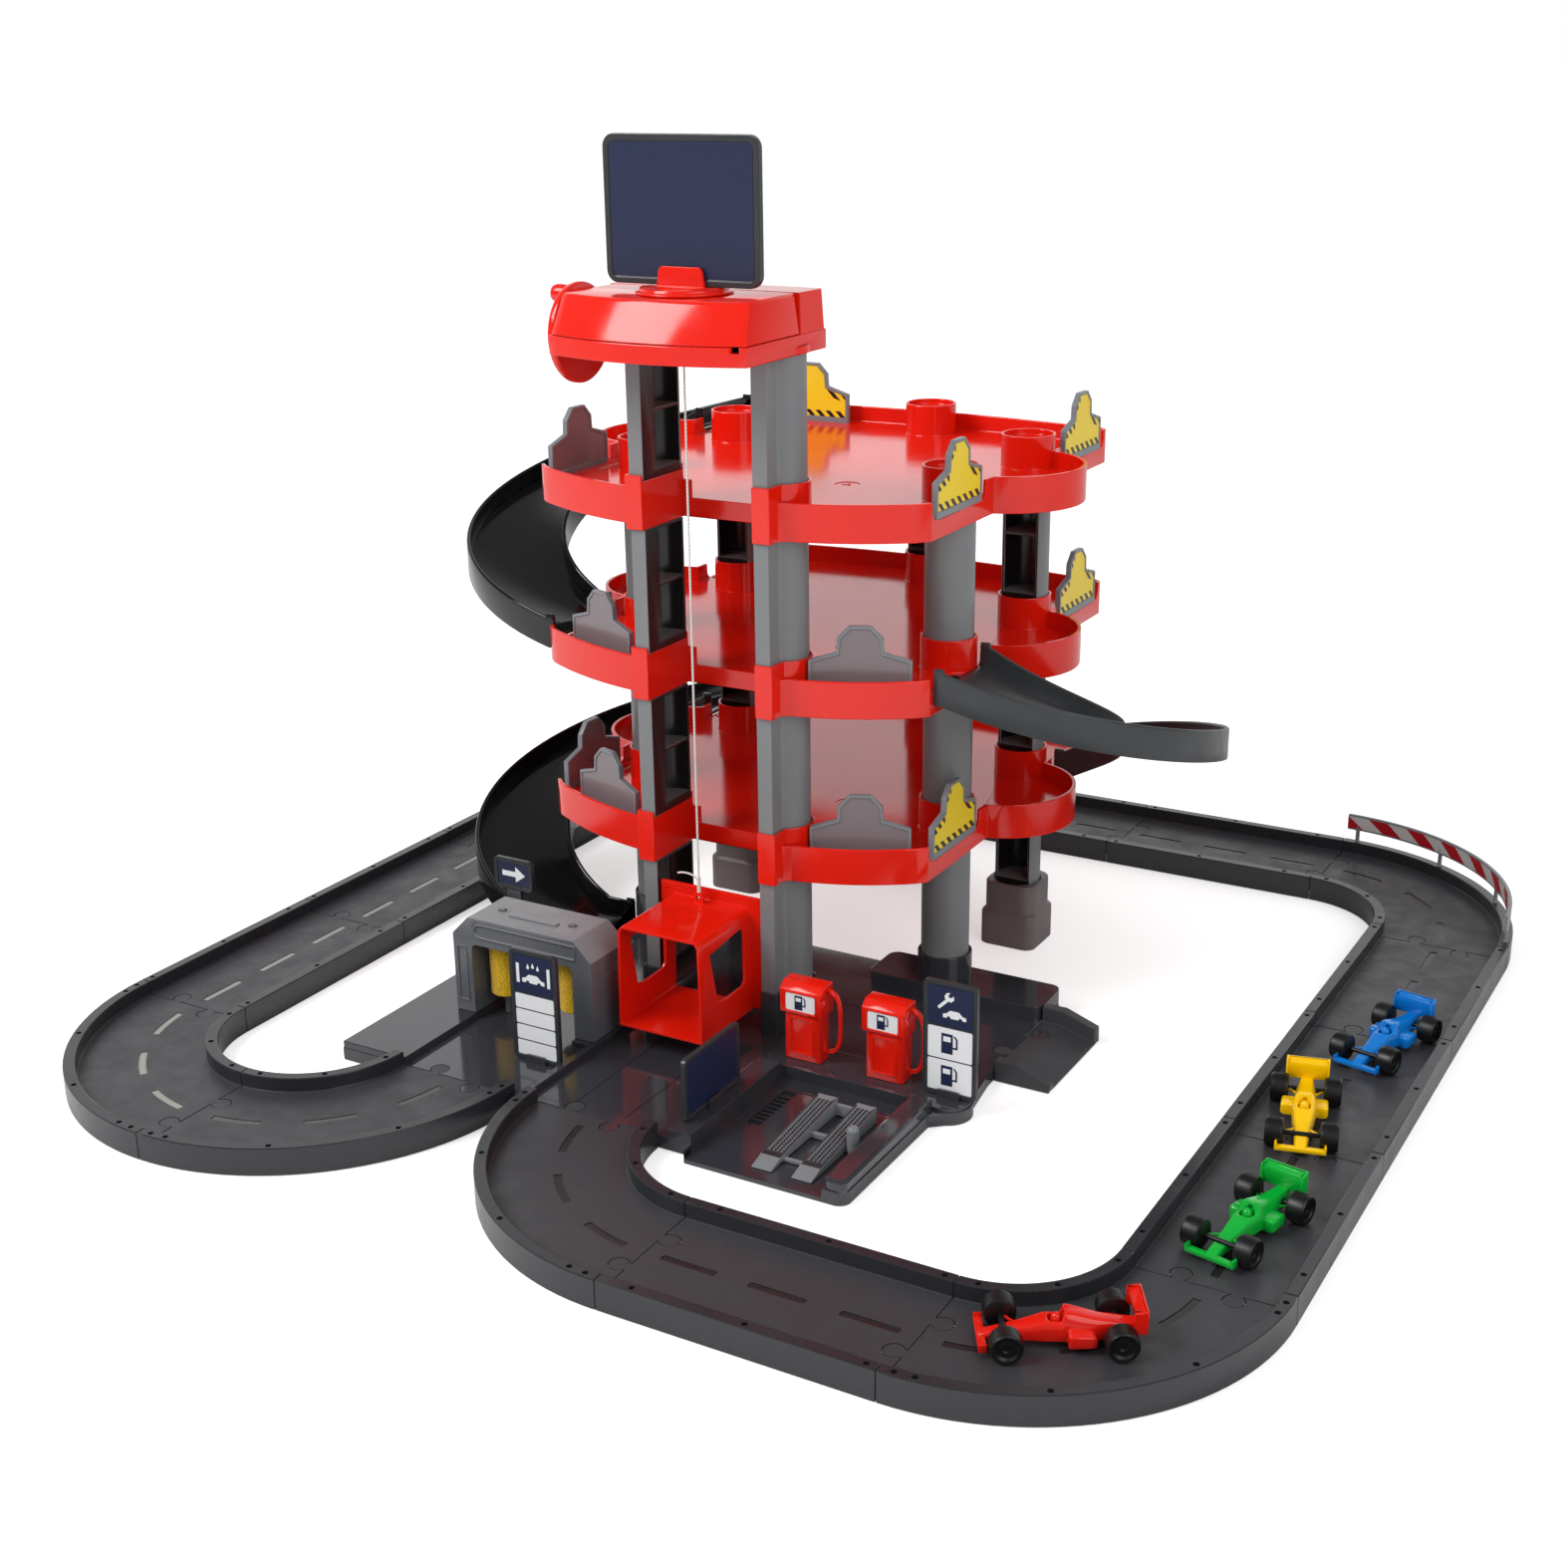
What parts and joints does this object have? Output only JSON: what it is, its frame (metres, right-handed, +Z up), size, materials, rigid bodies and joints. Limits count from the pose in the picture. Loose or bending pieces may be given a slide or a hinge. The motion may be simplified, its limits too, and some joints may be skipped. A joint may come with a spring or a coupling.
{
  "type": "toy parking garage",
  "caption": "Toy parking garage: stacked floors on half-pipe columns, cranked lift, spiral ramps, car wash, pumps, service lift and a closed road loop with toy racing cars.",
  "frame": {"origin": "on the ground under the middle of the square road loop", "axes": "+Z up, -Y towards the side with the pumps, car wash and lift, +X to the right seen from there"},
  "size_m": [0.85, 0.85, 0.5999],
  "materials": {
    "red_plastic": "glossy moulded red plastic",
    "anthracite_plastic": "fine-grained anthracite plastic",
    "black_plastic": "glossy black plastic",
    "slate_plastic": "satin slate-grey plastic",
    "grey_plastic": "satin grey plastic",
    "taupe_plastic": "matt warm-grey plastic",
    "yellow_foam": "open yellow foam",
    "white_string": "twisted white string",
    "tyre_plastic": "matt black plastic",
    "car_red": "glossy red plastic",
    "car_green": "glossy green plastic",
    "car_yellow": "glossy yellow plastic",
    "car_blue": "glossy blue plastic"
  },
  "bodies": {
    "root": {"arrow_sign": "slate_plastic", "back_column_foot": "taupe_plastic", "base_plate": "anthracite_plastic", "car_wash_housing": "grey_plastic", "exit_ramp": "anthracite_plastic", "floor_1": "red_plastic", "floor_2": "red_plastic", "floor_3": "red_plastic", "fuel_pump_1": "red_plastic", "fuel_pump_2": "red_plastic", "guard_rail": "slate_plastic", "left_column_foot": "taupe_plastic", "lift_column_left": "grey_plastic", "lift_column_right": "grey_plastic", "lift_head": "red_plastic", "lift_head_cover": "red_plastic", "lift_string": "white_string", "parking_sign": "slate_plastic", "pump_sign": "slate_plastic", "ramp_left_lower": "black_plastic", "ramp_left_upper": "black_plastic", "ramp_right": "slate_plastic", "right_column_foot": "taupe_plastic", "road_curve_1": "anthracite_plastic", "road_curve_2": "anthracite_plastic", "road_curve_3": "anthracite_plastic", "road_curve_4": "anthracite_plastic", "road_curve_5": "anthracite_plastic", "road_curve_6": "anthracite_plastic", "road_straight_1": "anthracite_plastic", "road_straight_10": "anthracite_plastic", "road_straight_2": "anthracite_plastic", "road_straight_3": "anthracite_plastic", "road_straight_4": "anthracite_plastic", "road_straight_5": "anthracite_plastic", "road_straight_6": "anthracite_plastic", "road_straight_7": "anthracite_plastic", "road_straight_8": "anthracite_plastic", "road_straight_9": "anthracite_plastic", "wash_sign": "slate_plastic"},
    "lift": {"lift_car": "red_plastic"},
    "crank": {"crank_wheel": "red_plastic"},
    "sign": {"sign_turntable": "red_plastic", "sign_board": "slate_plastic"},
    "roller_left": {"wash_roller_left": "yellow_foam"},
    "roller_right": {"wash_roller_right": "yellow_foam"},
    "service_lift": {"service_lift": "grey_plastic"},
    "red_car": {"red_car_body": "car_red"},
    "red_car_front_axle": {"red_car_front_wheels": "tyre_plastic"},
    "red_car_rear_axle": {"red_car_rear_wheels": "tyre_plastic"},
    "green_car": {"green_car_body": "car_green"},
    "green_car_front_axle": {"green_car_front_wheels": "tyre_plastic"},
    "green_car_rear_axle": {"green_car_rear_wheels": "tyre_plastic"},
    "yellow_car": {"yellow_car_body": "car_yellow"},
    "yellow_car_front_axle": {"yellow_car_front_wheels": "tyre_plastic"},
    "yellow_car_rear_axle": {"yellow_car_rear_wheels": "tyre_plastic"},
    "blue_car": {"blue_car_body": "car_blue"},
    "blue_car_front_axle": {"blue_car_front_wheels": "tyre_plastic"},
    "blue_car_rear_axle": {"blue_car_rear_wheels": "tyre_plastic"}
  },
  "joints": [
    {"name": "lift_slide", "type": "slide", "parent": "root", "child": "lift", "axis": [0, 0, 1], "range_m": [-0.014, 0.339], "deforming": ["lift_string"]},
    {"name": "crank_spin", "type": "hinge", "parent": "root", "child": "crank", "pos_m": [-0.1216, -0.1013, 0.477], "axis": [1, 0, 0], "range_deg": [-3415, 145]},
    {"name": "sign_turn", "type": "hinge", "parent": "root", "child": "sign", "pos_m": [-0.043, -0.102, 0.5056], "axis": [0, 0, 1], "continuous": true},
    {"name": "roller_left_spin", "type": "hinge", "parent": "root", "child": "roller_left", "pos_m": [-0.1705, -0.1585, 0.045], "axis": [0, 0, 1], "continuous": true},
    {"name": "roller_right_spin", "type": "hinge", "parent": "root", "child": "roller_right", "pos_m": [-0.1115, -0.1585, 0.045], "axis": [0, 0, 1], "continuous": true},
    {"name": "service_tilt", "type": "hinge", "parent": "root", "child": "service_lift", "pos_m": [0.106, -0.256, 0.0033], "axis": [1, 0, 0], "range_deg": [0, 12]},
    {"name": "red_car_roll", "type": "slide", "parent": "root", "child": "red_car", "axis": [-0.8634, -0.5045, 0], "range_m": [-0.02, 0.02]},
    {"name": "red_car_front_axle_spin", "type": "hinge", "parent": "red_car", "child": "red_car_front_axle", "pos_m": [0.29805, -0.35816, 0.0186], "axis": [0.5045, -0.8634, 0], "range_deg": [-129, 129]},
    {"name": "red_car_rear_axle_spin", "type": "hinge", "parent": "red_car", "child": "red_car_rear_axle", "pos_m": [0.34985, -0.32788, 0.0186], "axis": [0.5045, -0.8634, 0], "range_deg": [-129, 129]},
    {"name": "green_car_roll", "type": "slide", "parent": "root", "child": "green_car", "axis": [-0.1959, -0.9806, 0], "range_m": [-0.02, 0.02]},
    {"name": "green_car_front_axle_spin", "type": "hinge", "parent": "green_car", "child": "green_car_front_axle", "pos_m": [0.37112, -0.22447, 0.0186], "axis": [0.9806, -0.1959, 0], "range_deg": [-129, 129]},
    {"name": "green_car_rear_axle_spin", "type": "hinge", "parent": "green_car", "child": "green_car_rear_axle", "pos_m": [0.38288, -0.16563, 0.0186], "axis": [0.9806, -0.1959, 0], "range_deg": [-129, 129]},
    {"name": "yellow_car_roll", "type": "slide", "parent": "root", "child": "yellow_car", "axis": [0.2419, -0.9703, 0], "range_m": [-0.012, 0.02]},
    {"name": "yellow_car_front_axle_spin", "type": "hinge", "parent": "yellow_car", "child": "yellow_car_front_axle", "pos_m": [0.37426, -0.08415, 0.0186], "axis": [0.9703, 0.2419, 0], "range_deg": [-78, 129]},
    {"name": "yellow_car_rear_axle_spin", "type": "hinge", "parent": "yellow_car", "child": "yellow_car_rear_axle", "pos_m": [0.35974, -0.02593, 0.0186], "axis": [0.9703, 0.2419, 0], "range_deg": [-78, 129]},
    {"name": "blue_car_roll", "type": "slide", "parent": "root", "child": "blue_car", "axis": [-0.2045, -0.9789, 0], "range_m": [-0.012, 0.02]},
    {"name": "blue_car_front_axle_spin", "type": "hinge", "parent": "blue_car", "child": "blue_car_front_axle", "pos_m": [0.37887, 0.04167, 0.0186], "axis": [0.9789, -0.2045, 0], "range_deg": [-78, 129]},
    {"name": "blue_car_rear_axle_spin", "type": "hinge", "parent": "blue_car", "child": "blue_car_rear_axle", "pos_m": [0.39113, 0.1004, 0.0186], "axis": [0.9789, -0.2045, 0], "range_deg": [-78, 129]}
  ],
  "couplings": [
    {"joint": "crank_spin", "follows": "lift_slide", "rad_per_m": -175.44},
    {"joint": "red_car_front_axle_spin", "follows": "red_car_roll", "rad_per_m": 111.11},
    {"joint": "red_car_rear_axle_spin", "follows": "red_car_roll", "rad_per_m": 111.11},
    {"joint": "green_car_front_axle_spin", "follows": "green_car_roll", "rad_per_m": 111.11},
    {"joint": "green_car_rear_axle_spin", "follows": "green_car_roll", "rad_per_m": 111.11},
    {"joint": "yellow_car_front_axle_spin", "follows": "yellow_car_roll", "rad_per_m": 111.11},
    {"joint": "yellow_car_rear_axle_spin", "follows": "yellow_car_roll", "rad_per_m": 111.11},
    {"joint": "blue_car_front_axle_spin", "follows": "blue_car_roll", "rad_per_m": 111.11},
    {"joint": "blue_car_rear_axle_spin", "follows": "blue_car_roll", "rad_per_m": 111.11}
  ]
}
